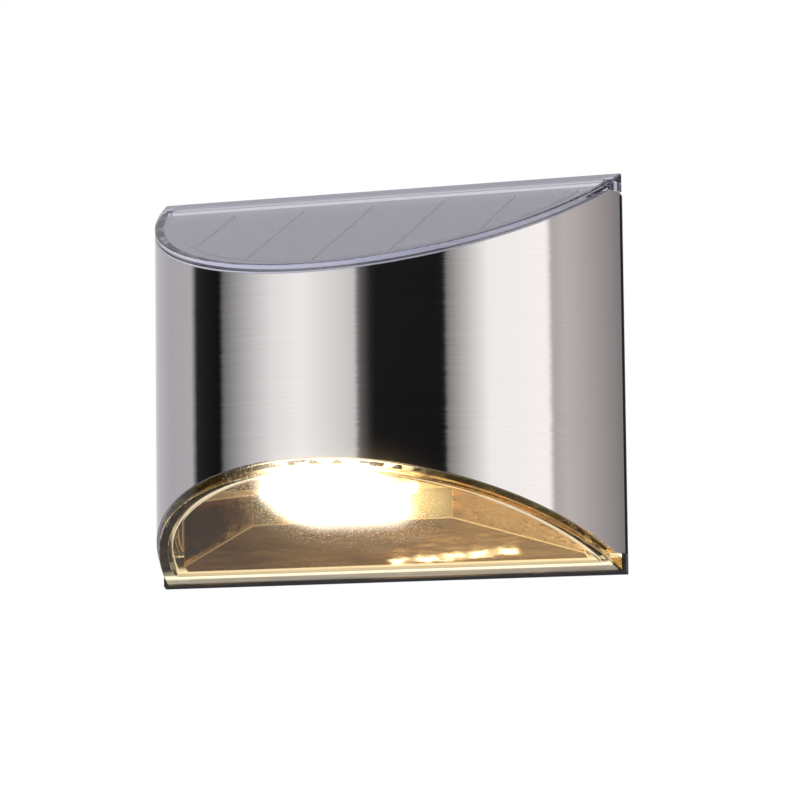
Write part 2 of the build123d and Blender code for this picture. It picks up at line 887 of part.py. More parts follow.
def switch_knob():
    knob = block(
        (knob_rest_x - knob_width / 2, knob_rest_x + knob_width / 2),
        (knob_recess, switch_back - seat_gap),
        (switch_z - knob_height / 2, switch_z + knob_height / 2),
    )
    knob = fillet(knob.faces().sort_by(Axis.Y)[-1].edges(), knob_edge_radius)
    for index in range(grip_groove_count):
        x = knob_rest_x + (index - (grip_groove_count - 1) / 2) * grip_groove_pitch
        knob -= block(
            (x - grip_groove_width / 2, x + grip_groove_width / 2),
            (0, knob_recess + grip_groove_depth),
            (-reach, reach),
        )
    return knob + block(
        (knob_rest_x - stem_width / 2, knob_rest_x + stem_width / 2),
        (switch_back - seat_gap, switch_back + stem_length),
        (switch_z - stem_height / 2, switch_z + stem_height / 2),
    )


def wire(points):
    """Round wire along straight runs joined by arcs as large as the runs allow."""
    route = [Vector(x, -depth, z) for x, depth, z in points]
    runs = [route[i + 1] - route[i] for i in range(len(route) - 1)]
    radii = []
    for first, second in zip(runs, runs[1:]):
        half_turn = math.radians(first.get_angle(second)) / 2
        radii.append(bend_share * min(first.length, second.length) / math.tan(half_turn))
    path = FilletPolyline(*route, radius=radii)
    section = Plane(origin=path @ 0, z_dir=path % 0) * Circle(wire_diameter / 2)
    return sweep(section, path)


def panel_wire(x):
    """From the panel's underside through the deck to the top of the main board."""
    start = deck_z(wire_hole_place, deck_level - pad_thickness) - wire_diameter / 2
    end = board_top - panel_wire_drop
    return wire([
        (x, wire_hole_place, start),
        (x, wire_hole_place, end),
        (x, board_front + wire_exit_gap, end),
    ])


def battery_wire(side):
    """From a contact, out through the bay's front wall and up to the main board."""
    x = side * (bay_end - contact_space / 2)
    out = bay_block_front + wire_stand_off
    return wire([
        (x, bay_front - contact_sheet, battery_z),
        (x, out, battery_z),
        (x, out, pan_top),
        (x - side * wire_pitch, board_front + wire_stand_off, board_z),
        (x - side * wire_pitch, board_front + wire_exit_gap, board_z),
    ])


def led_wire(x):
    """From the LED board up in front of the battery bay to the main board."""
    start = led_board_top + wire_exit_gap
    depth = led_row_depth - led_board_depth / 4
    end = board_low + led_wire_rise
    return wire([
        (x, depth, start),
        (x, depth, pan_top),
        (x, board_front + wire_stand_off, end),
        (x, board_front + wire_exit_gap, end),
    ])


nodes = {
    "shell": shell(),
    "top_cover": top_cover(),
    "solar_panel": solar_panel(),
    "solar_cells": solar_cells(),
    "panel_pad": panel_pad(),
    "lens": lens(),
    "lens_seal": lens_seal(),
    "core_housing": core_housing(),
    "reflector": reflector(),
    "led_board": led_board(),
    "leds": leds(),
    "back_cover": back_cover(),
    "back_seal": back_seal(),
    "back_screws": back_screws(),
    "battery_door": battery_door(),
    "door_seal": door_seal(),
    "door_screws": door_screws(),
    "battery": battery(),
    "battery_contact_positive": battery_contact_positive(),
    "battery_contact_negative": battery_contact_negative(),
    "main_board": main_board(),
    "main_board_screws": main_board_screws(),
    "control_chip": control_chip(),
    "inductor": inductor(),
    "capacitor": capacitor(),
    "board_parts": board_parts(),
    "switch_body": switch_body(),
    "switch_knob": switch_knob(),
    "panel_wire_red": panel_wire(wire_pitch / 2),
    "panel_wire_black": panel_wire(-wire_pitch / 2),
    "battery_wire_red": battery_wire(1),
    "battery_wire_black": battery_wire(-1),
    "led_wire_red": led_wire(led_wire_pitch / 2),
    "led_wire_black": led_wire(-led_wire_pitch / 2),
}

os.makedirs("parts", exist_ok=True)
for name, shape in nodes.items():
    export_step(shape, f"parts/{name}.step")
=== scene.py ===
import json
import math

import bpy
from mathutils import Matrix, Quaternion, Vector


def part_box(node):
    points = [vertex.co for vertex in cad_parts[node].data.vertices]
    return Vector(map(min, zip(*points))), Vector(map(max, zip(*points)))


# A half-round solar deck light: brushed steel shell, clear sloping cover over the solar cells,
# clear sloping lens with a warm LED row behind it. Metres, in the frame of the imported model:
# X to the right, Y towards the wall and Z up.

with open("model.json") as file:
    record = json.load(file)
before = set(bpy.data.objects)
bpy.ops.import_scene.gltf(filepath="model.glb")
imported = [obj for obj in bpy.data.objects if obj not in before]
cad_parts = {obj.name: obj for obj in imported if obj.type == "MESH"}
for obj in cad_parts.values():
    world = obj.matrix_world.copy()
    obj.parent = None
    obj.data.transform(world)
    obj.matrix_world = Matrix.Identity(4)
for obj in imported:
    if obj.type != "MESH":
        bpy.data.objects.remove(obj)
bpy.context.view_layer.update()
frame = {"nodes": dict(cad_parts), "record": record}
nodes = frame["nodes"]

# Camera: below and to the right of the light, as in the photograph
camera_azimuth = math.radians(22.83)
camera_elevation = math.radians(-5.94)
camera_roll = math.radians(-0.655)
camera_distance = 0.95
camera_clip = 0.01
focal_pixels = 4011
photo_pixels = 800
sensor_width = 36.0
aim_point = Vector((0, -0.025, 0))
aim_right = 0.01164
aim_up = -0.00574

# Studio: brightness all round the light. Angles are degrees from straight in front, positive to the right.
studio = [
    (-180, 1.0),
    (-150, 0.74),
    (-138, 0.58),
    (-115, 0.50),
    (-93, 0.54),
    (-89, 0.02),
    (-71, 0.004),
    (-69, 0.19),
    (-40, 0.98),
    (-26, 1.12),
    (-0.2, 0.74),
    (1.7, 0.15),
    (4.4, 0.085),
    (6.5, 0.025),
    (9, 0.006),
    (40.7, 0.004),
    (42.3, 0.26),
    (62, 1.15),
    (92, 1.2),
    (94.5, 0.51),
    (102, 0.6),
    (146, 0.22),
    (160, 0.7),
    (180, 1.0),
]
studio_tints = [
    (-180, (1.0, 1.0, 1.0)),
    (-115, (0.99, 0.97, 1.03)),
    (-20, (1.0, 0.99, 0.98)),
    (70, (1.0, 0.99, 0.97)),
    (110, (1.07, 0.98, 0.97)),
    (180, (1.0, 1.0, 1.0)),
]

# Studio above and below the ring. Each range is the elevation in degrees where a colour starts and is full.
sky_colour = (0.62, 0.61, 0.68, 1)
zenith_colour = (0.12, 0.105, 0.075, 1)
ground_colour = (0.57, 0.56, 0.56, 1)
nadir_colour = (0.12, 0.10, 0.08, 1)
backdrop_colour = (1, 1, 1, 1)
sky_range = (18, 38)
zenith_range = (45, 58)
ground_range = (-12, -32)
nadir_range = (-50, -70)

# Ground behind the light, by the Y of the direction
back_ground_colour = (0.30, 0.29, 0.34, 1)
back_ground_range = (-0.2, 0.3)

# Bounces of light, enough to pass through the lens to the reflector and out again
light_bounces = 40

# Floor: pale disc far below the light
floor_height = -1.3
floor_radius = 2.6
floor_corners = 128
floor_fade_start = 0.9
floor_dark = (0.86, 0.86, 0.85)
floor_light = (0.9, 0.9, 0.89)
floor_glow = 0.42
floor_roughness = 0.8

# Glow that the camera adds round the LEDs
glow_threshold = 1.6
glow_limit = 7.0
glow_strength = 0.15
glow_size = 0.07

# Range that holds most values of a noise
noise_range = (0.3, 0.7)

# LEDs
led_strength = 65.0
led_colour = (1.0, 0.89, 0.68, 1)
led_plastic = (0.9, 0.86, 0.74, 1)
led_roughness = 0.3

# Shell: brush lines per metre in X, Y and Z, the most that one turns the surface, and their depth
brush_lines = (25, 25, 2600)
brush_range = (0.25, 0.75)
brush_turn = math.radians(0.36)
brush_depth = 0.0000012
steel_dark = (0.73, 0.71, 0.705)
steel_light = (0.77, 0.75, 0.745)
steel_wear = 0.4
steel_wear_range = (0.3, 1.1)
steel_roughness = (0.085, 0.12)

# Reflector's coat: cloudy tones, tones from left to right, range and colour of painted shade at the ends of
# the block's front, roughness, relief
coat_clouds = [(0.32, (0.46, 0.29, 0.15)), (0.48, (0.94, 0.62, 0.36)), (0.66, (1.0, 0.82, 0.58))]
coat_tones = [(0.0, (0.42, 0.37, 0.29)), (0.35, (0.80, 0.79, 0.77)), (0.65, (1, 1, 1))]
coat_tone_span = (-0.045, 0.035)
shaded_block_ends = (0.009, 0.019)
block_end_shade_colour = (0.23, 0.22, 0.16, 1)
block_roughness = 0.75
coat_roughness = (0.20, 0.34)
soft_edge = 0.0008
wave_height = 0.0012
speck_height = 0.00003
speck_patches = (0.5, 0.6)
speck_sizes = (0.1, 0.35)

# Reflector's faces, told apart by one part of their true normal
front_facing = (-0.9, -0.85)
roof_facing = (-0.97, -0.99)
slope_facing = (-0.96, -0.93)
slant_facing = (0.3, 0.5)
edge_lean = (0.99, 0.90)

# Painted glow on the reflector, standing in for light that it gathers: towards the right, on slanting faces,
# on the roof, and painted highlights along edges
warm_side = (-0.036, 0.030)
warm_side_glow = 0.2
warm_side_colour = (1.0, 0.76, 0.42, 1)
slant_glow = 0.08
roof_glow = 0.26
edge_shine = 0.4
edge_shine_right = 3.0

# Row of light spots on the reflector's sloping face, a painted reflection of the LEDs. Depths are measured
# out from the wall.
spot_start = 0.001
spot_pitch = 0.0072
spot_count = 5
spot_fade = 0.2 * spot_pitch
spot_depth = 0.0058
spot_lean = 0.10
spot_ragged = 0.16
spot_wander = 0.0008
spot_core = (0.16, 0.5)
spot_gap_share = 0.3
spot_reach = (0.0002, 0.0024)
spot_glow = 3.0
spot_colour = (1.0, 0.94, 0.80, 1)

# Clear pieces. The steps say how level a face is: walls, rounded edge from and to, broad face.
plastic_index = 1.56
plastic_haze = (0.0, 0.015)
haze_range = (0.35, 0.75)
flow_depth = 0.000001
face_slope = math.radians(25)
slope_steps = (0.30, 0.40, 0.82, 0.88)

# Cover: colour and density inside, then tints of its walls, rounded edge and face. The dark rounded edge and
# the slightly darker walls are painted shade, standing in for light that the edge bends away.
cover_inside = (0.80, 0.81, 0.92, 1)
cover_density = 30.0
cover_shade_tints = ((0.86, 0.85, 0.87), (0.18, 0.17, 0.20), (1, 1, 1))

# Lens: colour and density inside, tints of its walls, rounded edge and face, the darker walls and rounded
# edge being painted shade, and of its mirrored light
lens_inside = (0.70, 0.64, 0.48, 1)
lens_density = 110.0
lens_shade_tints = ((0.62, 0.52, 0.34), (0.26, 0.21, 0.12), (0.92, 0.82, 0.60))
lens_mirror_tint = (0.77, 0.68, 0.33, 1)
# Painted glow inside the lens volume, and its colour
lens_glow = 1.2
lens_glow_colour = (1.0, 0.74, 0.32, 1)

# Frosted line round the lens with a painted glow along it, by height above its sloping face, and a painted
# glowing strip along its low edge, by depth
frost_levels = (0.0019, 0.0024, 0.0029, 0.0036)
frost_roughness = 0.45
edge_glow = 0.78
lens_emission_colour = (1.0, 0.93, 0.78, 1)
strip_depths = (0.0066, 0.0060, 0.0032, 0.0027)
strip_facing = (-0.80, -0.88)
strip_streaks = (40, 1800, 1800)
strip_streak_share = (0.55, 1.0)
strip_glow = 0.34

# Painted glow on the lens in front of the LED row, and painted flecks of light round it
lamp_depth = 0.0382
lamp_middle = 0.0012
lamp_half_length = 0.0075
lamp_squash = 0.82
lamp_reach = (0.002, 0.0132)
lamp_glow = 2.6
fleck_range = (0.56, 0.68)
fleck_reach = (0.008, 0.020)
fleck_glow = 0.7

# Solar panel: silicon flakes, silver fingers per metre with the share that they cover, and pale cell edges,
# a painted sheen
panel_gloss = {"Specular_IOR_Level": 0.6, "Coat_Weight": 0.6}
flake_range = (0.2, 0.8)
silicon_dark = (0.016, 0.018, 0.034)
silicon_light = (0.022, 0.026, 0.05)
cell_roughness = (0.21, 0.25)
finger_rate = 620.0
finger_share = 0.08
finger_colour = (0.08, 0.085, 0.10, 1)
cell_edge_lean = (0.9, 0.6)
cell_edge_sheen_colour = (0.62, 0.61, 0.66, 1)

# Battery, by share of its length: bare ends and pale band
can_ends = (0.012, 0.95)
can_band = (0.70, 0.82)
can_metal = (0.6, 0.6, 0.6)
can_sleeve = (0.05, 0.20, 0.15)
can_band_colour = (0.75, 0.74, 0.68)
can_roughness = (0.28, 0.40)

# Main board
board_mask = (0.015, 0.11, 0.045, 1)
board_track = (0.05, 0.22, 0.09, 1)
board_roughness = (0.3, 0.45)
track_width = 0.03
track_height = 0.00002

# Moulded and coated finishes: dark and light colour, roughness from and to, grain per metre and its depth
plain_finishes = {
    "foam": ((0.02, 0.02, 0.02), (0.04, 0.04, 0.04), (0.85, 0.95), 1800.0, 0.00008),
    "silicone": ((0.10, 0.07, 0.02), (0.15, 0.11, 0.035), (0.5, 0.65), 900.0, 0.00002),
    "black_abs": ((0.014, 0.014, 0.015), (0.024, 0.024, 0.026), (0.34, 0.48), 2200.0, 0.00002),
    "white_board": ((0.78, 0.78, 0.74), (0.86, 0.86, 0.82), (0.35, 0.5), 800.0, 0.000005),
    "chip_resin": ((0.015, 0.015, 0.016), (0.03, 0.03, 0.031), (0.5, 0.65), 2500.0, 0.00001),
    "ferrite": ((0.05, 0.045, 0.045), (0.09, 0.08, 0.08), (0.55, 0.7), 1800.0, 0.00003),
    "knob_plastic": ((0.02, 0.02, 0.021), (0.035, 0.035, 0.037), (0.28, 0.4), 1500.0, 0.00001),
    "red_wire": ((0.38, 0.012, 0.012), (0.5, 0.02, 0.02), (0.35, 0.5), 900.0, 0.00001),
    "black_wire": ((0.012, 0.012, 0.012), (0.025, 0.025, 0.025), (0.35, 0.5), 900.0, 0.00001),
}
panel_finish = ((0.016, 0.017, 0.028), (0.02, 0.022, 0.036), cell_roughness, 900.0, 0.000002)

# Plated metals: dark and light colour, roughness from and to
metal_finishes = {
    "steel_screw": ((0.42, 0.42, 0.43), (0.58, 0.58, 0.59), (0.25, 0.4)),
    "contact_metal": ((0.60, 0.58, 0.54), (0.74, 0.72, 0.68), (0.2, 0.32)),
    "capacitor_can": ((0.58, 0.59, 0.61), (0.68, 0.69, 0.71), (0.25, 0.35)),
    "switch_case": ((0.5, 0.5, 0.5), (0.62, 0.62, 0.62), (0.3, 0.42)),
}
tool_mark_depth = 0.000008


def feed(tree, socket, value):
    """Link a socket to another one, or give it a constant."""
    if isinstance(value, bpy.types.NodeSocket):
        tree.links.new(value, socket)
    else:
        socket.default_value = value


def add(tree, kind, inputs=None, **settings):
    """New shader node with its settings and inputs."""
    node = tree.nodes.new("ShaderNode" + kind)
    for name, value in settings.items():
        setattr(node, name, value)
    for socket, value in (inputs or {}).items():
        feed(tree, node.inputs[socket], value)
    return node


def math_node(tree, operation, *values):
    """Result of one operation on one or two numbers."""
    node = add(tree, "Math", operation=operation)
    for socket, value in zip(node.inputs, values):
        feed(tree, socket, value)
    return node.outputs[0]


def chain(tree, operation, first, *others):
    """Join numbers one after the other by the same operation."""
    result = first
    for other in others:
        result = math_node(tree, operation, result, other)
    return result


def between(tree, value, low, high, to_low=0.0, to_high=1.0, kind="LINEAR"):
    """Turn values from one range into another, and hold them at its ends."""
    sockets = {0: value, 1: low, 2: high, 3: to_low, 4: to_high}
    return add(tree, "MapRange", sockets, interpolation_type=kind).outputs[0]


def plateau(tree, value, start, full, end, clear):
    """Rise to one from start to full, and fall to nothing from end to clear."""
    rise = between(tree, value, start, full)
    fall = between(tree, value, end, clear, 1.0, 0.0)
    return math_node(tree, "MINIMUM", rise, fall)


def ramp(tree, factor, stops, kind="LINEAR"):
    """Colour ramp from a list of positions and colours."""
    node = add(tree, "ValToRGB", {"Fac": factor})
    node.color_ramp.interpolation = kind
    elements = node.color_ramp.elements
    while len(elements) < len(stops):
        elements.new(1.0)
    for element, (position, colour) in zip(elements, stops):
        element.position = position
        element.color = (*colour, 1)
    return node.outputs["Color"]


def two_tone(tree, factor, reach, dark, light):
    """Colour that goes from dark to light over a range of the factor."""
    return ramp(tree, factor, list(zip(reach, (dark, light))))


def mix(tree, share, first, second, blend="MIX"):
    """Blend two colours."""
    sockets = {0: share, 6: first, 7: second}
    return add(tree, "Mix", sockets, data_type="RGBA", blend_type=blend).outputs[2]


def place(tree, stretch=(1, 1, 1)):
    """Position on the object in metres, stretched along each axis."""
    coordinates = add(tree, "TexCoord").outputs["Object"]
    return add(tree, "Mapping", {"Vector": coordinates, "Scale": stretch}).outputs["Vector"]


def true_normal(tree):
    """Direction that the surface faces before any bump."""
    return add(tree, "NewGeometry").outputs["True Normal"]


def parts(tree, vector):
    """X, Y and Z of a vector."""
    return add(tree, "SeparateXYZ", {0: vector}).outputs


def dot(tree, first, second):
    """How far two directions agree."""
    return add(tree, "VectorMath", {0: first, 1: second}, operation="DOT_PRODUCT").outputs["Value"]


def length(tree, vector):
    """Length of a vector."""
    return add(tree, "VectorMath", {0: vector}, operation="LENGTH").outputs["Value"]


def noise(tree, vector, scale, detail=2.0, roughness=0.5):
    """Cloudy noise, with its scale in features per metre."""
    sockets = {"Vector": vector, "Scale": scale, "Detail": detail, "Roughness": roughness}
    return add(tree, "TexNoise", sockets).outputs["Fac"]


def bump(tree, height, distance, normal=None):
    """Normal of a surface raised by a distance where the height is one."""
    sockets = {"Height": height, "Distance": distance}
    if normal is not None:
        sockets["Normal"] = normal
    return add(tree, "Bump", sockets).outputs["Normal"]


def new_material(name, **constants):
    """New material with constants on its main shader."""
    made = bpy.data.materials.new(name)
    made.use_nodes = True
    shader = made.node_tree.nodes["Principled BSDF"]
    for socket, value in constants.items():
        shader.inputs[socket.replace("_", " ")].default_value = value
    return made, made.node_tree, shader


def plain(name, dark, light, rough, grain, depth, **constants):
    """Moulded or coated surface: cloudy colour, uneven gloss and a fine grain."""
    made, tree, shader = new_material(name, **constants)
    where = place(tree)
    cloud = noise(tree, where, scale=90.0, detail=3.0)
    fine = noise(tree, where, scale=grain)
    feed(tree, shader.inputs["Base Color"], two_tone(tree, cloud, noise_range, dark, light))
    feed(tree, shader.inputs["Roughness"], between(tree, fine, *noise_range, *rough))
    feed(tree, shader.inputs["Normal"], bump(tree, fine, depth))
    return made


def turned_metal(name, dark, light, rough):
    """Plated metal with faint tool marks."""
    made, tree, shader = new_material(name, Metallic=1.0)
    marks = noise(tree, place(tree, stretch=(1, 1, 6)), scale=700.0, detail=3.0)
    feed(tree, shader.inputs["Base Color"], two_tone(tree, marks, noise_range, dark, light))
    feed(tree, shader.inputs["Roughness"], between(tree, marks, *noise_range, *rough))
    feed(tree, shader.inputs["Normal"], bump(tree, marks, tool_mark_depth))
    return made


def brushed_shell():
    """Stainless sheet with fine brush lines that run round the shell."""
    made, tree, shader = new_material(
        "brushed_shell", Metallic=1.0, Anisotropic=1.0, Anisotropic_Rotation=0.25
    )
    lines = noise(tree, place(tree, brush_lines), scale=1.0, detail=4.0, roughness=0.65)
    clouds = noise(tree, place(tree), scale=28.0, detail=3.0)
    feed(tree, shader.inputs["Base Color"], two_tone(tree, lines, brush_range, steel_dark, steel_light))
    worn = math_node(tree, "ADD", lines, math_node(tree, "MULTIPLY", clouds, steel_wear))
    feed(tree, shader.inputs["Roughness"], between(tree, worn, *steel_wear_range, *steel_roughness))
    turn = between(tree, lines, *brush_range, -brush_turn, brush_turn)
    facing = add(tree, "NewGeometry").outputs["Normal"]
    turned = add(tree, "VectorRotate", {"Vector": facing, "Angle": turn}, rotation_type="Z_AXIS").outputs[0]
    feed(tree, shader.inputs["Normal"], bump(tree, lines, brush_depth, turned))
    feed(tree, shader.inputs["Tangent"], add(tree, "Tangent", direction_type="RADIAL", axis="Z").outputs[0])
    return made


def clear_plastic(name, inside, density, tints):
    """Clear moulded plastic, coloured inside, with painted shade: its walls and rounded edge tinted darker
    than its broad face.
    """
    made, tree, shader = new_material(name, Transmission_Weight=1.0, IOR=plastic_index)
    walls, edge, face = tints
    # Painted shade: walls and rounded edges take darker tints than the broad face, by how level the face is
    level = math_node(tree, "ABSOLUTE", parts(tree, true_normal(tree))["Z"])
    stops = list(zip(slope_steps, (walls, edge, edge, face)))
    feed(tree, shader.inputs["Base Color"], ramp(tree, level, stops))
    where = place(tree)
    haze = noise(tree, where, scale=300.0, detail=3.0)
    feed(tree, shader.inputs["Roughness"], between(tree, haze, *haze_range, *plastic_haze))
    flow = noise(tree, where, scale=40.0, detail=1.0)
    feed(tree, shader.inputs["Normal"], bump(tree, flow, flow_depth))
    absorbing = add(tree, "VolumeAbsorption", {"Color": inside, "Density": density}).outputs[0]
    feed(tree, tree.nodes["Material Output"].inputs["Volume"], absorbing)
    return made


def frosted_line(tree, sides):
    """Share of frost on the lens, a line round it at some height above its sloping face; it also sets where
    a painted glow lies.
    """
    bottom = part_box("lens")[0].z
    run = math_node(tree, "MULTIPLY", sides["Y"], math.sin(face_slope))
    rise = math_node(tree, "SUBTRACT", sides["Z"], bottom)
    level = math_node(tree, "ADD", run, math_node(tree, "MULTIPLY", rise, math.cos(face_slope)))
    return plateau(tree, level, *frost_levels)


def painted_strip_glow(tree, sides):
    """Painted glow in a pale streaky strip along the low edge of the lens, standing in for light that its
    back wall carries.
    """
    strip = plateau(tree, sides["Y"], *(-depth for depth in strip_depths))
    streaks = noise(tree, place(tree, strip_streaks), scale=1.0)
    streaky = between(tree, streaks, *noise_range, *strip_streak_share)
    down = between(tree, parts(tree, true_normal(tree))["Z"], *strip_facing)
    return chain(tree, "MULTIPLY", strip, strip_glow, streaky, down)


def painted_lamp_glow(tree, sides):
    """Painted soft glow on the lens in front of the LED row, and painted flecks of light round it."""
    aside = math_node(tree, "SUBTRACT", sides["X"], lamp_middle)
    beside = math_node(tree, "SUBTRACT", math_node(tree, "ABSOLUTE", aside), lamp_half_length)
    ahead = math_node(tree, "MULTIPLY", math_node(tree, "ADD", sides["Y"], lamp_depth), lamp_squash)
    past_end = math_node(tree, "MAXIMUM", beside, 0.0)
    away = length(tree, add(tree, "CombineXYZ", {0: past_end, 1: ahead}).outputs[0])
    lamp = between(tree, away, *lamp_reach, lamp_glow, 0.0, "SMOOTHSTEP")
    flecks = between(tree, noise(tree, place(tree), scale=2000.0), *fleck_range)
    near = between(tree, away, *fleck_reach, fleck_glow, 0.0)
    return lamp, math_node(tree, "MULTIPLY", flecks, near)


def clear_lens():
    """Warm clear plastic with painted glow, in its volume and on its surface, standing in for the LEDs'
    light carried round its edge.
    """
    made = clear_plastic("clear_lens", lens_inside, lens_density, lens_shade_tints)
    tree = made.node_tree
    shader = tree.nodes["Principled BSDF"]
    shader.inputs["Specular Tint"].default_value = lens_mirror_tint
    shader.inputs["Emission Color"].default_value = lens_emission_colour
    sides = parts(tree, place(tree))
    frost = frosted_line(tree, sides)
    clear = shader.inputs["Roughness"].links[0].from_socket
    frosted = math_node(tree, "MULTIPLY", frost, frost_roughness)
    feed(tree, shader.inputs["Roughness"], math_node(tree, "MAXIMUM", clear, frosted))
    # Painted glow: emission on the lens along the frosted line, in front of the LED row and along its low
    # edge
    edge = math_node(tree, "MULTIPLY", frost, edge_glow)
    glow = chain(tree, "ADD", edge, *painted_lamp_glow(tree, sides), painted_strip_glow(tree, sides))
    feed(tree, shader.inputs["Emission Strength"], glow)
    volume = tree.nodes["Material Output"].inputs["Volume"]
    absorbing = volume.links[0].from_socket
    # Painted glow filling the lens volume
    glowing = add(tree, "Emission", {"Color": lens_glow_colour, "Strength": lens_glow}).outputs[0]
    feed(tree, volume, add(tree, "AddShader", {0: absorbing, 1: glowing}).outputs[0])
    return made


def solar_cell():
    """Dark blue silicon with crystal flakes, thin silver fingers, and a painted sheen that makes the cells'
    edges pale.
    """
    made, tree, shader = new_material("solar_cell", **panel_gloss)
    where = place(tree)
    flakes = add(tree, "TexVoronoi", {"Vector": where, "Scale": 260.0}).outputs["Color"]
    flake = add(tree, "RGBToBW", {0: flakes}).outputs[0]
    silicon = two_tone(tree, flake, flake_range, silicon_dark, silicon_light)
    step = math_node(tree, "FRACT", math_node(tree, "MULTIPLY", parts(tree, where)["Y"], finger_rate))
    finger = math_node(tree, "LESS_THAN", step, finger_share)
    # Painted sheen: faces that lean away from the panel's face are coloured pale, as if they caught the sky
    up = (0, -math.sin(face_slope), math.cos(face_slope))
    painted_sheen = between(tree, dot(tree, true_normal(tree), up), *cell_edge_lean)
    colour = mix(tree, painted_sheen, mix(tree, finger, silicon, finger_colour), cell_edge_sheen_colour)
    feed(tree, shader.inputs["Base Color"], colour)
    feed(tree, shader.inputs["Roughness"], between(tree, flake, *flake_range, *cell_roughness))
    return made


def reflector_coat(tree, clouds, sides, front):
    """Warm cloudy colour, darker towards the left, with painted shade in dark grey at both ends of the
    block's front.
    """
    # Painted shade: the ends of the block's front are darkened to cut the LED glow short there
    ends = between(tree, math_node(tree, "ABSOLUTE", sides["X"]), *shaded_block_ends)
    painted_shade = math_node(tree, "MULTIPLY", ends, front)
    tint = mix(tree, painted_shade, ramp(tree, clouds, coat_clouds), block_end_shade_colour)
    tone = ramp(tree, between(tree, sides["X"], *coat_tone_span), coat_tones)
    return mix(tree, 1.0, tint, tone, "MULTIPLY")


def painted_reflector_glow(tree, sides, facing, lean):
    """Painted glow standing in for light that the reflector gathers towards the right and on its roof, and
    painted highlights along its edges.
    """
    right = between(tree, sides["X"], *warm_side)
    slant = between(tree, facing["X"], *slant_facing, warm_side_glow, warm_side_glow + slant_glow)
    side = math_node(tree, "MULTIPLY", right, slant)
    roof = between(tree, facing["Z"], *roof_facing, 0.0, roof_glow)
    shine = between(tree, lean, *edge_lean, 0.0, edge_shine)
    brighter = between(tree, right, 0.0, 1.0, 1.0, edge_shine_right)
    return chain(tree, "ADD", side, roof, math_node(tree, "MULTIPLY", shine, brighter))


def painted_led_reflections(tree, sides, facing):
    """Row of long soft spots on the sloping face, a painted reflection of the LEDs that it would mirror."""
    along = math_node(tree, "SUBTRACT", sides["X"], spot_start)
    step = math_node(tree, "FRACT", math_node(tree, "DIVIDE", along, spot_pitch))
    off_middle = math_node(tree, "ABSOLUTE", math_node(tree, "SUBTRACT", step, 0.5))
    uneven = noise(tree, place(tree, stretch=(1, 2, 2)), scale=230.0, detail=3.0)
    ragged = between(tree, uneven, *noise_range, -spot_ragged, spot_ragged)
    bead_edge = math_node(tree, "ADD", off_middle, ragged)
    bead = between(tree, bead_edge, *spot_core, 1.0, spot_gap_share, "SMOOTHSTEP")
    line = math_node(tree, "ADD", math_node(tree, "MULTIPLY", along, spot_lean), spot_depth)
    wander = between(tree, uneven, *noise_range, -spot_wander, spot_wander)
    wavy_line = math_node(tree, "ADD", line, wander)
    off_line = math_node(tree, "ABSOLUTE", math_node(tree, "ADD", sides["Y"], wavy_line))
    band = between(tree, off_line, *spot_reach, 1.0, 0.0, "SMOOTHSTEP")
    row = spot_count * spot_pitch
    ends = plateau(tree, along, 0.0, spot_fade, row - spot_fade, row)
    sloping = between(tree, facing["Z"], *slope_facing)
    return chain(tree, "MULTIPLY", bead, band, ends, sloping)


def coat_specks(tree):
    """Small specks, here and there."""
    where = place(tree)
    cells = add(tree, "TexVoronoi", {"Vector": where, "Scale": 1300.0}).outputs["Distance"]
    patches = between(tree, noise(tree, where, scale=400.0), *speck_patches)
    return math_node(tree, "MULTIPLY", patches, between(tree, cells, *speck_sizes, 1.0, 0.0))


def chrome_reflector():
    """Metallised moulding, warm and a little wavy, with specks, soft edges and a dull front to its block,
    and painted light: glow, edge highlights, LED reflections and shade at the block's front ends.
    """
    made, tree, shader = new_material("chrome_reflector", Metallic=0.94)
    sides = parts(tree, place(tree))
    normal = true_normal(tree)
    facing = parts(tree, normal)
    front = between(tree, facing["Y"], *front_facing, 1.0, 0.0)
    clouds = noise(tree, place(tree, stretch=(1, 1.6, 1.6)), scale=38.0, detail=5.0, roughness=0.6)
    feed(tree, shader.inputs["Base Color"], reflector_coat(tree, clouds, sides, front))
    smooth = between(tree, clouds, *noise_range, *coat_roughness)
    blurred = math_node(tree, "MULTIPLY", front, block_roughness)
    feed(tree, shader.inputs["Roughness"], math_node(tree, "MAXIMUM", smooth, blurred))
    soft = add(tree, "Bevel", {"Radius": soft_edge}, samples=8).outputs["Normal"]
    # Painted light: emission stands in for LED light gathered towards the right and on the roof, and for
    # highlights along edges
    painted_glow = painted_reflector_glow(tree, sides, facing, dot(tree, soft, normal))
    # Painted reflection: glowing spots where the sloping face would mirror the LED row
    painted_spots = painted_led_reflections(tree, sides, facing)
    light = math_node(tree, "ADD", painted_glow, math_node(tree, "MULTIPLY", painted_spots, spot_glow))
    feed(tree, shader.inputs["Emission Strength"], light)
    feed(tree, shader.inputs["Emission Color"], mix(tree, painted_spots, warm_side_colour, spot_colour))
    waves = noise(tree, place(tree, stretch=(1, 2.5, 2.5)), scale=70.0, detail=3.0)
    wavy = bump(tree, waves, wave_height, soft)
    feed(tree, shader.inputs["Normal"], bump(tree, coat_specks(tree), speck_height, wavy))
    return made


def led():
    """Cloudy round LED that glows most at its tip."""
    made, tree, shader = new_material(
        "led", Base_Color=led_plastic, Roughness=led_roughness, Emission_Color=led_colour
    )
    low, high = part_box("leds")
    glow = between(tree, parts(tree, place(tree))["Z"], low.z, high.z, led_strength, 0.0)
    feed(tree, shader.inputs["Emission Strength"], glow)
    return made


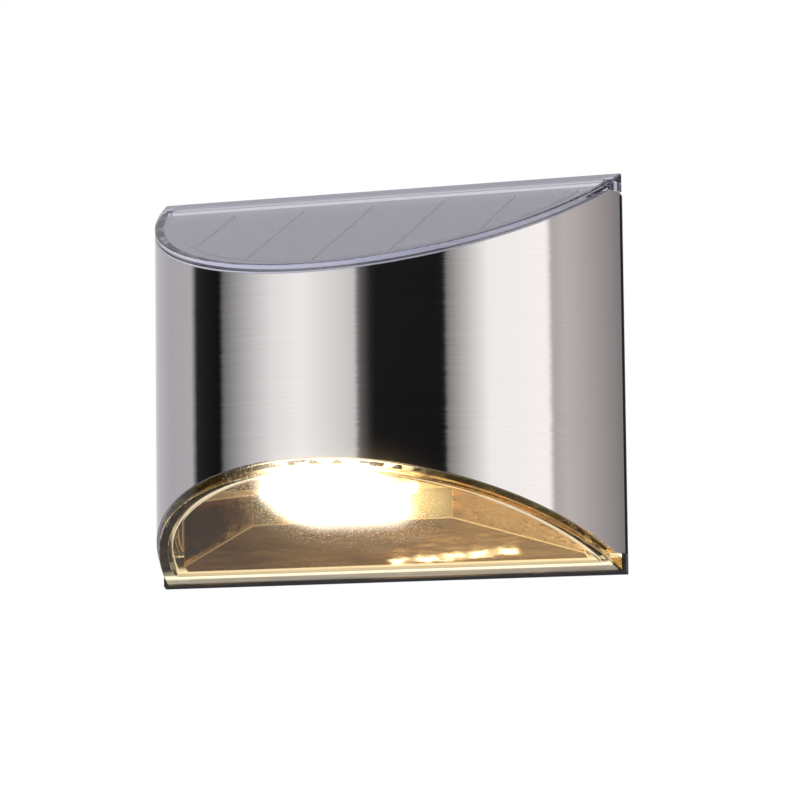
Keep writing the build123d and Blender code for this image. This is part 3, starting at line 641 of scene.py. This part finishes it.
def battery_can():
    """Plain green sleeve with a pale band, bare metal at both ends."""
    made, tree, shader = new_material("battery_can")
    low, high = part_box("battery")
    where = place(tree)
    share = between(tree, parts(tree, where)["X"], low.x, high.x)
    start, end = can_ends
    band_start, band_end = can_band
    colours = [
        (0.0, can_metal),
        (start, can_sleeve),
        (band_start, can_band_colour),
        (band_end, can_sleeve),
        (end, can_metal),
    ]
    bare = [(0.0, (1, 1, 1)), (start, (0, 0, 0)), (end, (1, 1, 1))]
    feed(tree, shader.inputs["Base Color"], ramp(tree, share, colours, "CONSTANT"))
    feed(tree, shader.inputs["Metallic"], ramp(tree, share, bare, "CONSTANT"))
    scuffs = noise(tree, where, scale=400.0)
    feed(tree, shader.inputs["Roughness"], between(tree, scuffs, *noise_range, *can_roughness))
    return made


def green_board():
    """Solder mask over faint copper tracks."""
    made, tree, shader = new_material("green_board", Specular_IOR_Level=0.5)
    where = place(tree)
    bricks = {"Vector": where, "Scale": 130.0, "Mortar Size": track_width}
    tracks = add(tree, "TexBrick", bricks).outputs["Fac"]
    feed(tree, shader.inputs["Base Color"], mix(tree, tracks, board_mask, board_track))
    scuffs = noise(tree, where, scale=500.0)
    feed(tree, shader.inputs["Roughness"], between(tree, scuffs, *noise_range, *board_roughness))
    feed(tree, shader.inputs["Normal"], bump(tree, tracks, track_height))
    return made


def make_finishes():
    """Every finish by the name of its slot."""
    made = {
        "brushed_shell": brushed_shell(),
        "clear_cover": clear_plastic("clear_cover", cover_inside, cover_density, cover_shade_tints),
        "clear_lens": clear_lens(),
        "panel_base": plain("panel_base", *panel_finish, **panel_gloss),
        "solar_cell": solar_cell(),
        "chrome_reflector": chrome_reflector(),
        "led": led(),
        "battery_can": battery_can(),
        "green_board": green_board(),
    }
    for name, values in plain_finishes.items():
        made[name] = plain(name, *values)
    for name, values in metal_finishes.items():
        made[name] = turned_metal(name, *values)
    return made


def dress_nodes():
    """Give each node the finish that its slot in the record names."""
    finishes = make_finishes()
    for entry in frame["record"]["subparts"]:
        slots = nodes[entry["node"]].data.materials
        slots.clear()
        slots.append(finishes[entry["material_slot"]])


def add_floor():
    """Pale round floor that fades out before its edge."""
    bpy.ops.mesh.primitive_circle_add(
        vertices=floor_corners, radius=floor_radius, fill_type="NGON", location=(0, 0, floor_height)
    )
    floor = bpy.context.object
    floor.name = "floor"
    made, tree, shader = new_material("floor", Emission_Strength=floor_glow, Roughness=floor_roughness)
    where = add(tree, "TexCoord").outputs["Object"]
    tone = two_tone(tree, noise(tree, where, scale=6.0), noise_range, floor_dark, floor_light)
    feed(tree, shader.inputs["Base Color"], tone)
    feed(tree, shader.inputs["Emission Color"], tone)
    fade = between(tree, length(tree, where), floor_fade_start, floor_radius, 1.0, 0.0)
    feed(tree, shader.inputs["Alpha"], fade)
    floor.data.materials.append(made)
    floor.visible_glossy = False
    floor.visible_transmission = False


def around(degrees):
    """Share of a full turn, counted from straight behind."""
    return (degrees + 180) / 360


def add_studio():
    """White backdrop to the camera, and a ring of lit and dark panels to the object."""
    world = bpy.data.worlds.new("studio")
    bpy.context.scene.world = world
    world.use_nodes = True
    tree = world.node_tree
    tree.nodes.clear()
    sides = parts(tree, add(tree, "TexCoord").outputs["Generated"])
    front = math_node(tree, "MULTIPLY", sides["Y"], -1.0)
    angle = math_node(tree, "ARCTAN2", sides["X"], front)
    turn = between(tree, angle, -math.pi, math.pi)
    stops = [(around(degrees), (value, value, value)) for degrees, value in studio]
    tints = [(around(degrees), colour) for degrees, colour in studio_tints]
    lit = mix(tree, 1.0, ramp(tree, turn, stops), ramp(tree, turn, tints), "MULTIPLY")
    behind = between(tree, sides["Y"], *back_ground_range)
    for reach, colour in (
        (sky_range, sky_colour),
        (zenith_range, zenith_colour),
        (ground_range, mix(tree, behind, ground_colour, back_ground_colour)),
        (nadir_range, nadir_colour),
    ):
        low, high = (math.sin(math.radians(degrees)) for degrees in reach)
        lit = mix(tree, between(tree, sides["Z"], low, high), lit, colour)
    panels = add(tree, "Background", {"Color": lit}).outputs[0]
    backdrop = add(tree, "Background", {"Color": backdrop_colour}).outputs[0]
    seen = add(tree, "LightPath").outputs["Is Camera Ray"]
    surface = add(tree, "MixShader", {0: seen, 1: panels, 2: backdrop}).outputs[0]
    add(tree, "OutputWorld", {"Surface": surface})


def add_camera():
    """Camera at the photograph's place and with its field of view."""
    data = bpy.data.cameras.new("camera")
    data.sensor_width = sensor_width
    data.lens = focal_pixels / photo_pixels * sensor_width
    data.clip_start = camera_clip
    camera = bpy.data.objects.new("camera", data)
    bpy.context.scene.collection.objects.link(camera)
    flat = math.cos(camera_elevation)
    back = Vector((
        math.sin(camera_azimuth) * flat, -math.cos(camera_azimuth) * flat, math.sin(camera_elevation)
    ))
    right = Vector((math.cos(camera_azimuth), math.sin(camera_azimuth), 0))
    up = back.cross(right)
    camera.location = aim_point + back * camera_distance
    look = aim_point + right * aim_right + up * aim_up - camera.location
    camera.rotation_mode = "QUATERNION"
    camera.rotation_quaternion = look.to_track_quat("-Z", "Y") @ Quaternion((0, 0, 1), camera_roll)
    bpy.context.scene.camera = camera


def add_glow():
    """Light that spills round the LEDs in the picture."""
    scene = bpy.context.scene
    scene.use_nodes = True
    tree = scene.node_tree
    tree.nodes.clear()
    picture = tree.nodes.new("CompositorNodeRLayers")
    glare = tree.nodes.new("CompositorNodeGlare")
    glare.glare_type = "BLOOM"
    glare.inputs["Threshold"].default_value = glow_threshold
    glare.inputs["Clamp"].default_value = True
    glare.inputs["Maximum"].default_value = glow_limit
    glare.inputs["Strength"].default_value = glow_strength
    glare.inputs["Size"].default_value = glow_size
    result = tree.nodes.new("CompositorNodeComposite")
    tree.links.new(picture.outputs["Image"], glare.inputs["Image"])
    tree.links.new(glare.outputs["Image"], result.inputs["Image"])


def set_light_paths():
    """Plain colours, and enough bounces for light inside the clear pieces."""
    bpy.context.scene.view_settings.view_transform = "Standard"
    cycles = bpy.context.scene.cycles
    cycles.max_bounces = light_bounces
    cycles.transmission_bounces = light_bounces
    cycles.glossy_bounces = light_bounces
    cycles.sample_clamp_indirect = 0.0


dress_nodes()
add_floor()
add_studio()
add_camera()
add_glow()
set_light_paths()
